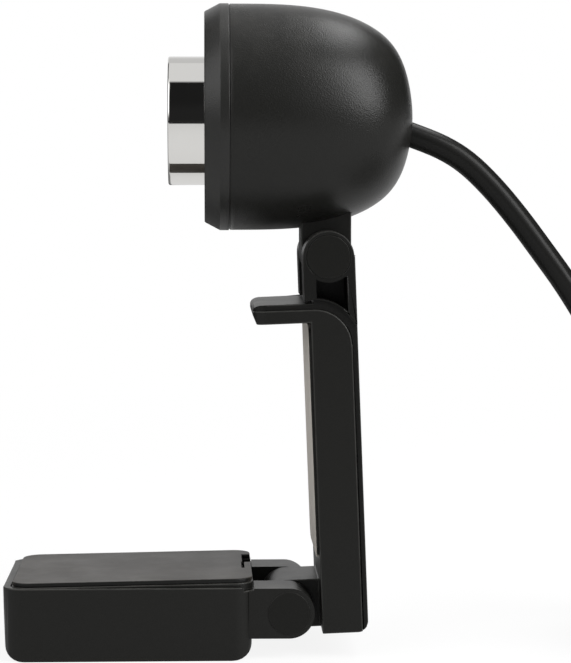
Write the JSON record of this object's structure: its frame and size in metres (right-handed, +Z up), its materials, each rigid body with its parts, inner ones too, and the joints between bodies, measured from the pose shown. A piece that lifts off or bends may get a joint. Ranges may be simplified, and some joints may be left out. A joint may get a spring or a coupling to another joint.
{
  "type": "webcam",
  "caption": "Webcam with a bullet-shaped head, chromed focus ring and tilt hinge, on a folding clip stand with a weighted foot, on a coiled computer lead.",
  "frame": {"origin": "centre of the foot's flat underside", "axes": "+X from the lens to the back, +Y across the foot, +Z up"},
  "size_m": [0.1675, 0.0558, 0.1026],
  "materials": {
    "shell_plastic": "fine satin grain",
    "stand_plastic": "fine spark-eroded grain",
    "pad_rubber": "matt, smooth",
    "chrome_plate": "mirror",
    "lens_black": "flat black",
    "lens_glass": "coated",
    "steel": "zinc plated",
    "board_green": "solder mask",
    "chip_black": "moulded epoxy",
    "nylon": "natural",
    "clear_plastic": "clear",
    "soft_black": "matt",
    "cable_jacket": "satin",
    "wire_jacket": "gloss",
    "plug_metal": "nickel plated",
    "contact_metal": "gold plated"
  },
  "bodies": {
    "foot": {"foot_shell": "stand_plastic", "foot_lid": "stand_plastic", "foot_pad": "pad_rubber", "foot_weight": "steel", "weight_screws": "steel", "fold_pin": "steel", "fold_washers": "nylon", "fold_caps": "stand_plastic"},
    "arm": {"arm_bracket": "stand_plastic", "arm_strap": "stand_plastic", "arm_pad": "pad_rubber", "arm_screws": "steel", "tilt_pin": "steel", "tilt_washers": "nylon", "tilt_caps": "stand_plastic"},
    "head": {"neck": "stand_plastic", "rear_shell": "shell_plastic", "front_bezel": "shell_plastic", "ring_retainer": "steel", "retainer_screws": "steel", "light_pipe": "clear_plastic", "microphone": "steel", "mic_boot": "soft_black", "main_board": "board_green", "board_screws": "steel", "status_led": "clear_plastic", "image_sensor": "chip_black", "control_chip": "chip_black", "lens_holder": "lens_black", "ir_filter": "lens_glass", "board_socket": "nylon", "core_wires": "wire_jacket", "cable_clamp": "soft_black", "cable": "cable_jacket", "cable_coil": "cable_jacket", "coil_tie": "soft_black", "plug_grip": "soft_black", "plug_shell": "plug_metal", "plug_tongue": "nylon", "plug_contacts": "contact_metal"},
    "focus_ring": {"focus_ring": "chrome_plate", "lens_hood": "lens_black"},
    "lens": {"lens_barrel": "lens_black", "front_glass": "lens_glass", "rear_glass": "lens_glass"}
  },
  "joints": [
    {"name": "arm_fold", "type": "hinge", "parent": "foot", "child": "arm", "pos_m": [0.0251, 0, 0.0072], "axis": [0, 1, 0], "range_deg": [-78, 88]},
    {"name": "head_tilt", "type": "hinge", "parent": "arm", "child": "head", "pos_m": [0.03122, 0, 0.06278], "axis": [0, 1, 0], "range_deg": [-40, 32]},
    {"name": "focus_turn", "type": "hinge", "parent": "head", "child": "focus_ring", "pos_m": [0.012, 0, 0.084], "axis": [-1, 0, 0], "range_deg": [0, 300]},
    {"name": "focus_travel", "type": "slide", "parent": "head", "child": "lens", "axis": [-1, 0, 0], "range_m": [0, 0.00042]}
  ],
  "couplings": [
    {"joint": "focus_travel", "follows": "focus_turn", "m_per_rad": 0.00007957}
  ]
}
